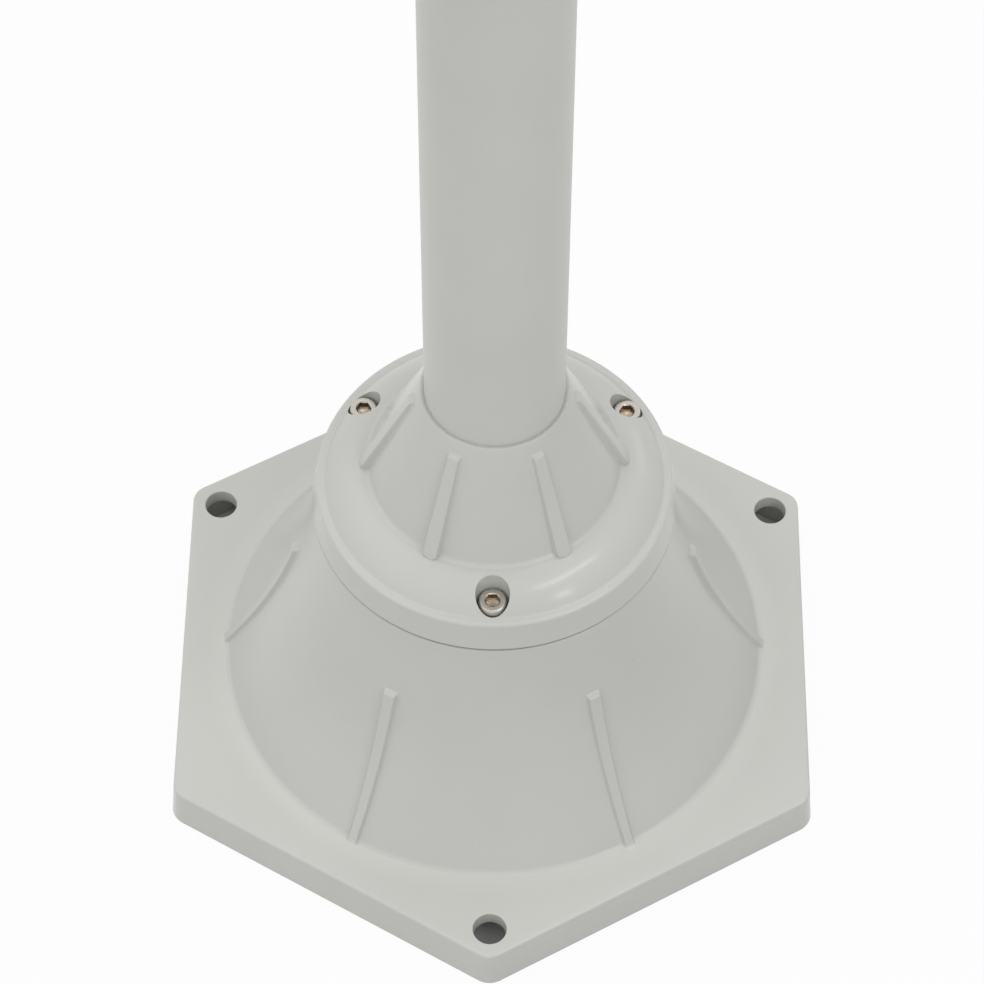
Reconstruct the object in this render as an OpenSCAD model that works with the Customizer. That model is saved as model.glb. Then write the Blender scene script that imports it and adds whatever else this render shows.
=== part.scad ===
// Foot of a lamp post: a hexagonal cast base with a flared bell, a cast collar held down
// by three cap screws, and the lower length of the round post tube.
// The origin is the middle of the underside, +Z is up, and one plate corner points to -Y.

/* [Plate] */
// Width of the hexagonal plate across its flats, at the top edge
plate_af = 241.6; // [228:0.2:270]
// Height of the plate
plate_h = 18; // [14:0.5:26]
// How far each side wall leans out from top to bottom
plate_flare = 1.4; // [0:0.1:4]
// Radius of the six rounded corners, seen from above
plate_corner_r = 7; // [5:0.5:16]
// Rounding of the plate's top edge
plate_edge_r = 1.2; // [0.5:0.1:3]
// Thickness of the plate's top over its hollow underside
plate_skin = 6.3; // [4:0.1:9]
// Thickness of the plate's side walls at the top
plate_wall = 4; // [3:0.5:6]

/* [Anchor holes] */
// Number of anchor holes, on every other corner
anchor_count = 3; // [3, 6]
// Diameter of each anchor hole
anchor_d = 12.4; // [8:0.2:13]
// Distance from a sharp corner of the plate in to the middle of its hole
anchor_inset = 13; // [11:0.5:16]

/* [Bell] */
// Height from the ground to the flat land that carries the collar
base_h = 115; // [100:1:140]
// Outer radius of the bell at its top
bell_top_r = 66.8; // [63:0.2:67.4]
// Distance from the plate's flats in to the foot of the bell
bell_margin = 17.4; // [14:0.2:24]
// Radius of the long hollow curve of the bell's side
bell_arc_r = 230; // [200:5:400]
// Wall of the bell
bell_wall = 5; // [3:0.5:7]
// Radius of the fillet between bell and plate
foot_fillet_r = 3; // [2:0.5:7]
// Thickness of the land at the top of the bell
land_t = 8; // [6:0.5:12]
// Rounding of the land's outer edge
land_edge_r = 0.4; // [0.2:0.1:1.6]

/* [Bell ribs] */
// Number of ribs, one over each flat of the plate
rib_count = 6; // [3:1:6]
// Width of a rib at its root
rib_w = 6; // [4:0.5:9]
// How far a rib stands out from the bell
rib_out = 2.4; // [1.6:0.2:5]
// Chamfer along both edges of a rib's crest
rib_chamfer = 1.4; // [0.4:0.1:1.5]
// Distance from the land down to the top of a rib
rib_drop = 32; // [16:1:50]

/* [Gasket] */
// Thickness of the gasket between base and collar
gasket_t = 1; // [0.5:0.1:2]
// How far the gasket's edge lies inside the bell's top
gasket_inset = 0.4; // [0.2:0.1:3]

/* [Collar] */
// How far the collar's rim stands out past the top of the bell
rim_overhang = 0.2; // [0.1:0.1:2]
// Height of the rim
rim_h = 13.2; // [10:0.2:18]
// How far the rim leans in over its height
rim_draft = 1.8; // [0:0.1:3]
// Rounding of the rim's top edge
rim_edge_r = 1.6; // [1:0.1:2.4]
// Width of the flat land between the rim's edge and the band
rim_land = 1.6; // [0.6:0.1:2]
// Height of the domed band above the rim
band_rise = 9.6; // [8:0.2:12]
// Distance from the foot of the rim in to the foot of the cone
band_w = 20.8; // [20:0.1:22.5]
// Radius of the fillet at the cone's foot
cone_fillet_r = 2.5; // [1:0.5:4]
// Height of the cone above the band
cone_h = 44; // [36:1:60]
// Width of the flat lip at the cone's top
cone_lip = 1.2; // [0.8:0.1:2]
// Wall of the collar
collar_wall = 4.5; // [3.5:0.5:5]

/* [Collar spigot] */
// Distance from the screw circle in to the outside of the spigot
spigot_inset = 10.4; // [9.5:0.1:12]
// Length of the spigot below the rim
spigot_len = 7; // [4:0.5:7.5]
// Wall of the spigot
spigot_wall = 4; // [3:0.5:5]
// Radial clearance between spigot and base
spigot_clear = 0.4; // [0.2:0.1:0.8]

/* [Collar ribs] */
// Width of a collar rib at its upper end
crib_w_top = 4.6; // [2:0.2:6]
// Width of a collar rib at its nose
crib_w_foot = 7; // [4:0.2:9]
// How far a collar rib stands out at its upper end
crib_out_top = 1.4; // [0.6:0.2:2]
// How far a collar rib's nose stands out from the cone's foot
crib_out_foot = 3.4; // [1.5:0.1:4]
// Distance from the cone's top down to a rib's upper end
crib_drop = 5; // [3:0.5:12]

/* [Collar screws] */
// Distance from the foot of the rim in to the circle through the three screws
screw_inset = 11; // [10.6:0.1:11.6]
// Nominal thread diameter
screw_d = 6; // [5:0.5:6]
// Head diameter
screw_head_d = 10; // [9:0.5:10.5]
// Head height
screw_head_h = 6; // [4:0.5:6.5]
// Width across the flats of the hexagon socket
screw_hex_af = 5; // [3:0.5:5]
// Depth of the hexagon socket
screw_hex_depth = 3; // [2:0.5:3.5]
// Length of the shank below the head
screw_len = 30; // [25:1:32]
// Radial clearance round the head in its counterbore
screw_head_clear = 1.3; // [0.4:0.1:1.5]
// Radial clearance round the shank in the collar
screw_shank_clear = 0.3; // [0.1:0.05:0.5]
// Depth of the counterbore's floor below the top of the rim
screw_seat_drop = 3; // [2:0.5:5]
// Diameter of the boss round each tapped hole in the base
screw_boss_d = 16; // [13:0.5:17]

/* [Post tube] */
// Outer diameter of the post tube
tube_d = 50; // [48:0.5:51]
// Wall of the post tube
tube_wall = 2.5; // [1.5:0.5:4]
// Length of the post tube
tube_len = 396; // [200:5:1200]
// Radial gap between tube and collar
tube_gap = 0.4; // [0.2:0.1:0.8]
// Wall of the sleeve that holds the tube inside the collar
sleeve_wall = 4.4; // [3:0.2:6]
// How far the sleeve reaches below the rim
sleeve_len = 16; // [14:0.5:30]
// Thickness of the ledge that the tube stands on
ledge_t = 4; // [3:0.5:6]
// Radius of the cable hole through the ledge
cable_hole_r = 18; // [8:0.5:20]

/* [Set screws] */
// Diameter of the set screws that grip the tube
set_d = 6; // [4:0.5:6]
// Length of a set screw
set_len = 6; // [5:0.5:12]
// Width across the flats of the set screw's socket
set_hex_af = 3; // [2:0.5:3]
// Depth of the set screw's socket
set_hex_depth = 2.5; // [1.5:0.5:3]

/* [Hidden] */
$fn = 96;

// Colours of the finishes
paint = [0.74, 0.74, 0.72];
steel = [0.66, 0.66, 0.66];
black_rubber = [0.08, 0.08, 0.08];

// Overlap of cuts and joined shapes
eps = 0.05;
// Steps in a short fillet and in a long curve
fillet_steps = 8;
curve_steps = 20;
// Radial play of a thread drawn as a plain hole
thread_play = 0.05;

// The three screws stand at the front corner and a third of a turn either way
front_az = 0;
right_az = 120;
left_az = -120;

// Radii that follow from the plate and the top of the bell
flat_r = plate_af / 2;
anchor_circle_r = flat_r / cos(30) - anchor_inset;
bell_foot_r = flat_r - bell_margin;
rim_r = bell_top_r + rim_overhang;
cone_foot_r = rim_r - band_w;
screw_circle_r = rim_r - screw_inset;
spigot_r = screw_circle_r - spigot_inset;

// Heights of the seats, one standing on the other
plate_under_z = plate_h - plate_skin;
seat_z = base_h + gasket_t;
rim_top_z = seat_z + rim_h;
band_top_z = rim_top_z + band_rise;
cone_top_z = band_top_z + cone_h;
tube_r = tube_d / 2;
tube_hole_r = tube_r + tube_gap;
sleeve_r = tube_hole_r + sleeve_wall;
sleeve_foot_z = seat_z - sleeve_len;
tube_foot_z = sleeve_foot_z + ledge_t;
cone_top_r = tube_hole_r + cone_lip;
land_hole_r = spigot_r + spigot_clear;
gasket_r = bell_top_r - gasket_inset;

// Collar screws
screw_seat_z = rim_top_z - screw_seat_drop;
counterbore_r = screw_head_d / 2 + screw_head_clear;
// Metal round a counterbore and below a tapped hole, and the hole's spare depth
boss_skin = 3;
tap_spare = 4;
collar_boss_r = counterbore_r + boss_skin;
tap_depth = screw_len - (screw_seat_z - base_h) + tap_spare;
screw_boss_foot_z = base_h - tap_depth - boss_skin;

// Set screws, halfway between the ledge and the spigot's foot
set_z = tube_foot_z + set_d / 2 + 1.5;

// A point at radius r, turned az degrees from the front corner towards +X
function at(r, az) = [r * sin(az), -r * cos(az)];

// Points on a circular arc about c, from angle a0 to angle a1
function arc(c, r, a0, a1, steps) =
    [for (i = [0 : steps]) let (a = a0 + (a1 - a0) * i / steps) c + r * [cos(a), sin(a)]];

// Middle of the bell's side arc, found from its two ends and its radius
bell_top = [bell_top_r, base_h];
bell_foot = [bell_foot_r, plate_h];
bell_chord = bell_foot - bell_top;
bell_half = norm(bell_chord) / 2;
bell_side = [-bell_chord[1], bell_chord[0]] / norm(bell_chord);
bell_centre = (bell_top + bell_foot) / 2 + bell_side * sqrt(bell_arc_r * bell_arc_r - bell_half * bell_half);

// Radius of the bell's outside at height z
function bell_r(z) = bell_centre[0] - sqrt(pow(bell_arc_r, 2) - pow(bell_centre[1] - z, 2));

// Outline of the bell's side between two heights, moved out by d
function bell_side_points(z0, z1, d) =
    [for (i = [0 : curve_steps]) let (z = z0 + (z1 - z0) * i / curve_steps) [bell_r(z) + d, z]];

// Lean of the bell's side at the plate, from the horizontal
foot_lean = atan2(sqrt(pow(bell_arc_r, 2) - pow(bell_centre[1] - plate_h, 2)), bell_centre[1] - plate_h);
// Where the foot fillet touches the plate and the bell's side
fillet_reach = foot_fillet_r * tan(foot_lean / 2);
fillet_centre = [bell_foot_r + fillet_reach, plate_h + foot_fillet_r];
fillet_top_z = fillet_centre[1] - foot_fillet_r * cos(foot_lean);

// One corner of the plate: a drafted round post with a rounded top edge
module corner_post(r, h, flare, edge_r) {
    rotate_extrude($fn = 32)
        polygon(concat([[0, 0], [r + flare, 0]],
                       arc([r - edge_r, h - edge_r], edge_r, 0, 90, 4),
                       [[0, h]]));
}

// The hexagonal plate, stretched over its six corner posts
module plate_body() {
    hull()
        for (k = [0 : 5])
            translate(at((flat_r - plate_corner_r) / cos(30), k * 60))
                corner_post(plate_corner_r, plate_h, plate_flare, plate_edge_r);
}

// Outline of the hollow under the plate
module plate_hollow_outline() {
    r = plate_corner_r / 2;
    inner = flat_r - plate_wall - r;
    polygon([for (k = [0 : 5], a = [-30, -10, 10, 30])
                at(inner / cos(30), k * 60) + r * [sin(k * 60 + a), -cos(k * 60 + a)]]);
}

// The bell's outside, with its foot fillet and rounded land edge
module bell_outside() {
    rotate_extrude()
        polygon(concat([[0, plate_h - 1], [fillet_centre[0], plate_h - 1]],
                       arc(fillet_centre, foot_fillet_r, 270, 270 - foot_lean, fillet_steps),
                       bell_side_points(fillet_top_z, base_h - land_edge_r, 0),
                       arc([bell_top_r - land_edge_r, base_h - land_edge_r], land_edge_r, 0, 90, 4),
                       [[0, base_h]]));
}

// The bell's hollow, open to the ground
module bell_hollow() {
    rotate_extrude()
        polygon(concat([[0, -1], [bell_r(plate_under_z) - bell_wall, -1]],
                       bell_side_points(plate_under_z, base_h - land_t, -bell_wall),
                       [[0, base_h - land_t]]));
}

// One rib of the bell: the side curve moved outwards, kept inside a slab with a round nose
module bell_rib_layer(out, w) {
    nose_r = bell_foot_r + fillet_reach + out * 0.8;
    intersection() {
        rotate_extrude()
            polygon(concat([[bell_top_r - 4, plate_h - 1], [bell_r(plate_h) + out, plate_h - 1]],
                           bell_side_points(plate_h, base_h - rib_drop, out),
                           [[bell_top_r - 4, base_h - rib_drop]]));
        linear_extrude(base_h) {
            translate([0, -w / 2]) square([nose_r - w / 2, w]);
            translate([nose_r - w / 2, 0]) circle(d = w);
        }
    }
}

module bell_rib() {
    bell_rib_layer(rib_out - rib_chamfer, rib_w);
    bell_rib_layer(rib_out, rib_w - 2 * rib_chamfer);
}

module base_casting() {
    color(paint)
    difference() {
        union() {
            difference() {
                union() {
                    plate_body();
                    bell_outside();
                    for (k = [0 : rib_count - 1])
                        rotate(k * 360 / rib_count) bell_rib();
                }
                translate([0, 0, -1]) linear_extrude(plate_under_z + 1) plate_hollow_outline();
                bell_hollow();
            }
            // bosses for the collar screws, under the land
            for (az = [front_az, right_az, left_az])
                translate(concat(at(screw_circle_r, az), screw_boss_foot_z))
                    cylinder(d = screw_boss_d, h = base_h - screw_boss_foot_z - 1);
        }
        for (k = [0 : anchor_count - 1])
            translate(concat(at(anchor_circle_r, k * 360 / anchor_count), -1))
                cylinder(d = anchor_d, h = plate_h + 2);
        for (az = [front_az, right_az, left_az])
            translate(concat(at(screw_circle_r, az), base_h - tap_depth))
                cylinder(r = screw_d / 2 + thread_play, h = tap_depth + 1);
        translate([0, 0, base_h - land_t - 1]) cylinder(r = land_hole_r, h = land_t + 2);
    }
}

module collar_gasket() {
    color(black_rubber)
    translate([0, 0, base_h])
    difference() {
        cylinder(r = gasket_r, h = gasket_t);
        translate([0, 0, -1]) cylinder(r = land_hole_r, h = gasket_t + 2);
        for (az = [front_az, right_az, left_az])
            translate(concat(at(screw_circle_r, az), -1))
                cylinder(r = screw_d / 2 + screw_shank_clear, h = gasket_t + 2);
    }
}

// The band is part of an ellipse, steep at the rim and nearly level at the cone
band_foot_r = rim_r - rim_draft - rim_edge_r - rim_land;
band_reach = band_foot_r - cone_foot_r;

// Lean of the cone from the vertical
cone_lean = atan((cone_foot_r - cone_top_r) / cone_h);
cone_fillet_reach = cone_fillet_r * tan((90 - cone_lean) / 2);
cone_fillet_centre = [cone_foot_r + cone_fillet_reach, band_top_z + cone_fillet_r];

// Outline of the collar's outside, from the foot of the rim to the lip at the tube
collar_outline = concat(
    [[rim_r, seat_z]],
    arc([rim_r - rim_draft - rim_edge_r, rim_top_z - rim_edge_r], rim_edge_r, 0, 90, 6),
    [for (i = [0 : curve_steps])
        let (a = acos(cone_fillet_reach / band_reach) * i / curve_steps)
        [cone_foot_r + band_reach * cos(a), rim_top_z + band_rise * sin(a)]],
    arc(cone_fillet_centre, cone_fillet_r, 270, 180 + cone_lean, fillet_steps),
    [[cone_top_r, cone_top_z]]);

// One wedge-shaped rib on the collar's cone
module collar_rib() {
    crib_top_z = cone_top_z - crib_drop;
    crest_top_r = cone_top_r + crib_drop * tan(cone_lean) + crib_out_top;
    nose_r = cone_foot_r + crib_out_foot;
    intersection() {
        rotate_extrude()
            polygon([[sleeve_r - 2, rim_top_z], [nose_r, rim_top_z], [nose_r, band_top_z - 0.5],
                     [crest_top_r, crib_top_z], [sleeve_r - 2, crib_top_z]]);
        linear_extrude(cone_top_z) {
            polygon([[sleeve_r - 2, -crib_w_top / 2], [nose_r - crib_w_foot / 2, -crib_w_foot / 2],
                     [nose_r - crib_w_foot / 2, crib_w_foot / 2], [sleeve_r - 2, crib_w_top / 2]]);
            translate([nose_r - crib_w_foot / 2, 0]) circle(d = crib_w_foot);
        }
    }
}

module collar_casting() {
    spigot_foot_z = seat_z - spigot_len;
    // hollow between the sleeve and the cone
    hollow_r = spigot_r - spigot_wall;
    hollow_top_z = cone_top_z - (sleeve_r + collar_wall / cos(cone_lean) - cone_top_r) / tan(cone_lean);
    hollow_side_z = cone_top_z - (hollow_r + collar_wall / cos(cone_lean) - cone_top_r) / tan(cone_lean);
    color(paint)
    difference() {
        union() {
            difference() {
                rotate_extrude()
                    polygon(concat([[0, spigot_foot_z], [spigot_r, spigot_foot_z], [spigot_r, seat_z]],
                                   collar_outline, [[0, cone_top_z]]));
                rotate_extrude()
                    polygon([[0, spigot_foot_z - 1], [hollow_r, spigot_foot_z - 1],
                             [hollow_r, hollow_side_z], [sleeve_r, hollow_top_z], [0, hollow_top_z]]);
                // ring-shaped pocket under the band, clear of the screws
                difference() {
                    translate([0, 0, seat_z - 1])
                        difference() {
                            cylinder(r = rim_r - rim_draft - collar_wall - 1, h = rim_h - collar_wall + 1);
                            cylinder(r = spigot_r + 2, h = rim_h);
                        }
                    for (az = [front_az, right_az, left_az])
                        translate(concat(at(screw_circle_r, az), seat_z - 2))
                            cylinder(r = collar_boss_r, h = rim_h + 2);
                }
            }
            for (k = [0 : rib_count - 1])
                rotate(k * 360 / rib_count) collar_rib();
            translate([0, 0, sleeve_foot_z]) cylinder(r = sleeve_r, h = hollow_top_z - sleeve_foot_z + 2);
        }
        translate([0, 0, tube_foot_z]) cylinder(r = tube_hole_r, h = cone_top_z);
        translate([0, 0, sleeve_foot_z - 1]) cylinder(r = cable_hole_r, h = cone_top_z);
        for (az = [front_az, right_az, left_az]) {
            translate(concat(at(screw_circle_r, az), seat_z - 1))
                cylinder(r = screw_d / 2 + screw_shank_clear, h = rim_h);
            translate(concat(at(screw_circle_r, az), screw_seat_z))
                cylinder(r = counterbore_r, h = band_rise + rim_h);
            rotate(az - 90) translate([0, 0, set_z]) rotate([0, 90, 0])
                cylinder(r = set_d / 2 + thread_play, h = sleeve_r + 1);
        }
    }
}

module post_tube() {
    color(paint)
    translate([0, 0, tube_foot_z])
    difference() {
        cylinder(r = tube_r, h = tube_len);
        translate([0, 0, -1]) cylinder(r = tube_r - tube_wall, h = tube_len + 2);
    }
}

// Hexagon socket, cut down from z = 0
module hex_socket(af, depth) {
    translate([0, 0, -depth]) cylinder(d = af / cos(30), h = depth + 1, $fn = 6);
}

// Cap screw with its head's underside on z = 0
module cap_screw() {
    edge = 0.5;
    difference() {
        union() {
            rotate_extrude()
                polygon([[0, 0], [screw_head_d / 2, 0], [screw_head_d / 2, screw_head_h - edge],
                         [screw_head_d / 2 - edge, screw_head_h], [0, screw_head_h]]);
            translate([0, 0, -screw_len]) cylinder(d = screw_d, h = screw_len + eps);
        }
        translate([0, 0, screw_head_h]) hex_socket(screw_hex_af, screw_hex_depth);
    }
}

module collar_screw(az) {
    color(steel)
    translate(concat(at(screw_circle_r, az), screw_seat_z)) rotate(az) cap_screw();
}

module tube_set_screw(az) {
    color(steel)
    rotate(az - 90) translate([tube_r + thread_play + set_len, 0, set_z]) rotate([0, 90, 0])
        difference() {
            translate([0, 0, -set_len]) cylinder(d = set_d, h = set_len);
            hex_socket(set_hex_af, set_hex_depth);
        }
}

base_casting();
collar_gasket();
collar_casting();
post_tube();
collar_screw(front_az);  // collar_screw_front
collar_screw(left_az);  // collar_screw_left
collar_screw(right_az);  // collar_screw_right
tube_set_screw(front_az);  // tube_set_screw_front
tube_set_screw(left_az);  // tube_set_screw_left
tube_set_screw(right_az);  // tube_set_screw_right
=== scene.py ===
"""A lamp post foot and the lower length of its post, dressed for rendering.

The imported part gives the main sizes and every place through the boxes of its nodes.  The two
castings are modelled again here with drafted ribs, fillets and rounded edges, and so are the
tube, the gasket and the screws.  Lengths in the classes are millimetres, meshes are metres.
"""

from __future__ import annotations

import logging
import math
from collections.abc import Callable, Iterable, Iterator, Sequence
from contextlib import contextmanager
from dataclasses import dataclass, field
from enum import Enum

import bpy
from mathutils import Matrix, Vector

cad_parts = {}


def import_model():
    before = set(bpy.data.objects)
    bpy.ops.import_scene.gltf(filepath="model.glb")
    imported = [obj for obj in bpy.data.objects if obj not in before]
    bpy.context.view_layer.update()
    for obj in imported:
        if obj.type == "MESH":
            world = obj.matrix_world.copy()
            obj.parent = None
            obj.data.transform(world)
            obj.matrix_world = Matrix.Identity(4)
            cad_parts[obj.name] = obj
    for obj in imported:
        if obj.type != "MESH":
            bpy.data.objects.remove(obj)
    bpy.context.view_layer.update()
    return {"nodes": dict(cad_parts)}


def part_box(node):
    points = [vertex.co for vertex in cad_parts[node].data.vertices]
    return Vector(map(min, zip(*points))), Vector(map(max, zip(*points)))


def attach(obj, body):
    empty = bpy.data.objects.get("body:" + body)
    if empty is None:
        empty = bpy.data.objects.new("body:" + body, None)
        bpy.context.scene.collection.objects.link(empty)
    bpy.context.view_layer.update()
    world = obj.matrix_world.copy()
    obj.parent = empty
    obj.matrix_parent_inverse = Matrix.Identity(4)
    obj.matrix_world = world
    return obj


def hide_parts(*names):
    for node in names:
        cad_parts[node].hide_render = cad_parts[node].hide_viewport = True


MM = 0.001
TAU = math.tau
SIXTH = math.radians(60)
SIDES = 6
LOG = logging.getLogger("lamp_post_foot")

Point = tuple[float, float]
Colour = tuple[float, float, float]


class Slot(Enum):
    """Names of the material slots."""

    CASTING = "painted_casting"
    TUBE = "painted_tube"
    RUBBER = "gasket_rubber"
    STEEL = "stainless"


class Side(Enum):
    """The three places of the screws, as angles round the post from the front corner."""

    FRONT = 0
    RIGHT = 120
    LEFT = -120

    @property
    def word(self) -> str:
        """The place as it stands in the node names."""
        return self.name.lower()


# ---------------------------------------------------------------- meshes


def spaced(start: float, end: float, steps: int) -> list[float]:
    """Values from start to end in even steps, without the end itself."""
    return [start + (end - start) * i / steps for i in range(steps)]


def arc_points(centre: Point, radius: float, start: float, end: float, steps: int) -> list[Point]:
    """Points of a circular arc, both ends included.

    Args:
        centre: Radius and height of the arc's middle.
        radius: Radius of the arc.
        start: First angle in degrees, from the outward direction towards up.
        end: Last angle in degrees.
        steps: Number of steps between them.

    Returns:
        Radius and height of each point.
    """
    angles = [math.radians(start + (end - start) * i / steps) for i in range(steps + 1)]
    return [(centre[0] + radius * math.cos(a), centre[1] + radius * math.sin(a)) for a in angles]


def smooth_min(a: float, b: float, width: float) -> float:
    """The smaller of two values, rounded where they differ by less than a width."""
    return min(a, b) - max(width - abs(a - b), 0.0) ** 2 / (4 * width)


def smooth_max(a: float, b: float, width: float) -> float:
    """The larger of two values, rounded where they differ by less than a width."""
    return -smooth_min(-a, -b, width)


def activate(obj: bpy.types.Object) -> None:
    """Select one object alone and make it the active one.

    Args:
        obj: The object.
    """
    bpy.ops.object.select_all(action="DESELECT")
    obj.select_set(True)
    bpy.context.view_layer.objects.active = obj


@contextmanager
def editing(obj: bpy.types.Object) -> Iterator[None]:
    """Open an object in edit mode with everything selected, and close it again.

    Args:
        obj: The object to edit.
    """
    activate(obj)
    bpy.ops.object.mode_set(mode="EDIT")
    bpy.ops.mesh.select_all(action="SELECT")
    yield
    bpy.ops.object.mode_set(mode="OBJECT")


def close_seams() -> None:
    """Merge doubled vertices of the mesh in edit mode and point its faces outwards."""
    bpy.ops.mesh.select_all(action="SELECT")
    bpy.ops.mesh.remove_doubles(threshold=0.002 * MM)
    bpy.ops.mesh.normals_make_consistent(inside=False)


def turned(name: str, profile: Sequence[Point], steps: int) -> bpy.types.Object:
    """Turn a closed profile round the Z axis, as on a lathe.

    Args:
        name: Name of the new object.
        profile: Radius and height of each corner, in order round the section.
        steps: Number of steps in the full turn.

    Returns:
        The new closed object.
    """
    bpy.ops.object.select_all(action="DESELECT")
    bpy.ops.mesh.primitive_circle_add(vertices=len(profile), radius=1.0)
    obj = bpy.context.object
    obj.name = name
    for vertex, (r, z) in zip(obj.data.vertices, profile):
        vertex.co = (r * MM, 0.0, z * MM)
    with editing(obj):
        bpy.ops.mesh.spin(steps=steps, angle=TAU, center=(0, 0, 0), axis=(0, 0, 1))
        close_seams()
    return obj


def sheet(
    name: str, columns: int, rows: int, place: Callable[[int, int], Vector]
) -> bpy.types.Object:
    """Shape a grid with a formula.

    Args:
        name: Name of the new object.
        columns: Number of steps along the first direction of the grid.
        rows: Number of steps along the second direction.
        place: Gives the place of a grid corner, in millimetres, from its column and row.

    Returns:
        The shaped sheet, still open at its edges.
    """
    bpy.ops.object.select_all(action="DESELECT")
    bpy.ops.mesh.primitive_grid_add(x_subdivisions=columns, y_subdivisions=rows, size=1.0)
    obj = bpy.context.object
    obj.name = name
    for vertex in obj.data.vertices:
        column = round((vertex.co.x + 0.5) * columns)
        row = round((vertex.co.y + 0.5) * rows)
        vertex.co = place(column, row) * MM
    return obj


def ring_of(obj: bpy.types.Object, count: int) -> None:
    """Repeat a mesh round the Z axis inside its own object and close its seams.

    Args:
        obj: The object that holds one copy.
        count: Number of copies in the full turn.
    """
    with editing(obj):
        bpy.ops.mesh.spin(
            steps=count - 1, dupli=True, angle=TAU * (count - 1) / count,
            center=(0, 0, 0), axis=(0, 0, 1),
        )
        close_seams()


def boolean(obj: bpy.types.Object, tool: bpy.types.Object, operation: str) -> None:
    """Join or cut an object with a tool mesh and remove the tool.

    Args:
        obj: The object that changes.
        tool: The closed mesh that is joined to it or cut from it.
        operation: UNION or DIFFERENCE.
    """
    modifier = obj.modifiers.new(operation.title(), "BOOLEAN")
    modifier.object = tool
    modifier.operation = operation
    modifier.solver = "MANIFOLD"
    activate(obj)
    bpy.ops.object.modifier_apply(modifier=modifier.name)
    bpy.data.objects.remove(tool, do_unlink=True)


def moved(obj: bpy.types.Object, place: Vector, turn: float = 0.0) -> bpy.types.Object:
    """Turn a mesh about the Z axis and shift it, in its own vertices.

    Args:
        obj: The object whose mesh is placed.
        place: The shift in millimetres.
        turn: The angle about Z in radians, before the shift.

    Returns:
        The same object.
    """
    obj.data.transform(Matrix.Translation(place * MM) @ Matrix.Rotation(turn, 4, "Z"))
    return obj


def at_corners(
    obj: bpy.types.Object, profile: Sequence[Point], radius: float, steps: int, operation: str
) -> None:
    """Join a boss or cut a hole at the three places of the screws.

    Args:
        obj: The casting.
        profile: Section of the boss or hole about its own axis.
        radius: Distance of that axis from the post's.
        steps: Number of steps in its full turn.
        operation: UNION or DIFFERENCE.
    """
    tool = moved(turned("tool", profile, steps), Vector((0, -radius, 0)))
    ring_of(tool, len(Side))
    boolean(obj, tool, operation)


def smooth(obj: bpy.types.Object, angle: float = 32.0) -> None:
    """Shade an object smooth where its faces meet at less than an angle in degrees."""
    activate(obj)
    bpy.ops.object.shade_smooth_by_angle(angle=math.radians(angle))


def dress(obj: bpy.types.Object, material: bpy.types.Material, node: str) -> None:
    """Give a piece its finish and let it stand for a node of the part.

    Args:
        obj: The finished piece.
        material: Its finish.
        node: The node that the piece stands for.
    """
    obj.data.materials.clear()
    obj.data.materials.append(material)
    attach(obj, "root")
    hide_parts(node)
    LOG.info("%s: %d faces, stands for %s", obj.name, len(obj.data.polygons), node)


def node_box(node: str) -> tuple[Vector, Vector]:
    """Lowest and highest corner of a node in millimetres."""
    low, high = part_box(node)
    return low / MM, high / MM


# ---------------------------------------------------------------- profiles


@dataclass(frozen=True)
class Station:
    """One row of a casting's skin: a point of the section and the way a rib rises from it.

    Rows of the plate follow a hexagon with rounded corners instead of a circle.
    """

    r: float
    z: float
    nr: float = 0.0
    nz: float = 0.0
    corner: float = 0.0
    hexed: float = 0.0
    ribbed: bool = False


@dataclass(frozen=True)
class Rib:
    """A cast rib that stands on a casting's skin, with drafted flanks and rounded edges.

    Attributes:
        half_top: Half the width at the root, at the rib's upper end.
        half_nose: Half the width at the root, at its nose.
        top_r: Radius of the skin at the upper end.
        top_z: Height of the upper end.
        nose_r: Radius of the tip of the nose.
        draft: Rise of the flanks over their run.
        end_draft: Rise of the upper end face over its run.
        crest_round: Rounding of the crest's edges.
        root_round: Rounding along the root.
        crest_share: Share of the half width at which the crest's edge lies.
        crest: Gives the full height of the rib over a row of the skin.
    """

    half_top: float
    half_nose: float
    top_r: float
    top_z: float
    nose_r: float
    draft: float
    end_draft: float
    crest_round: float
    root_round: float
    crest_share: float
    crest: Callable[[Station], float]

    def half_width(self, station: Station) -> float:
        """Half the width of the rib's root at a row."""
        share = min(max((station.r - self.top_r) / (self.nose_r - self.top_r), 0.0), 1.0)
        return self.half_top + (self.half_nose - self.half_top) * share

    def rise(self, station: Station, side: float) -> float:
        """Height of the rib over its skin.

        Args:
            station: The row of the skin.
            side: Distance from the rib's middle plane.

        Returns:
            The height, measured along the row's direction.
        """
        if not station.ribbed:
            return 0.0
        half = self.half_width(station)
        past = max(station.r - (self.nose_r - self.half_nose), 0.0)
        flank = (half - math.hypot(side, past)) * self.draft
        end = (self.top_z - station.z) * self.end_draft
        height = smooth_min(self.crest(station), flank, self.crest_round)
        height = smooth_min(height, end, self.crest_round)
        return smooth_max(height, 0.0, self.root_round)


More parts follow.
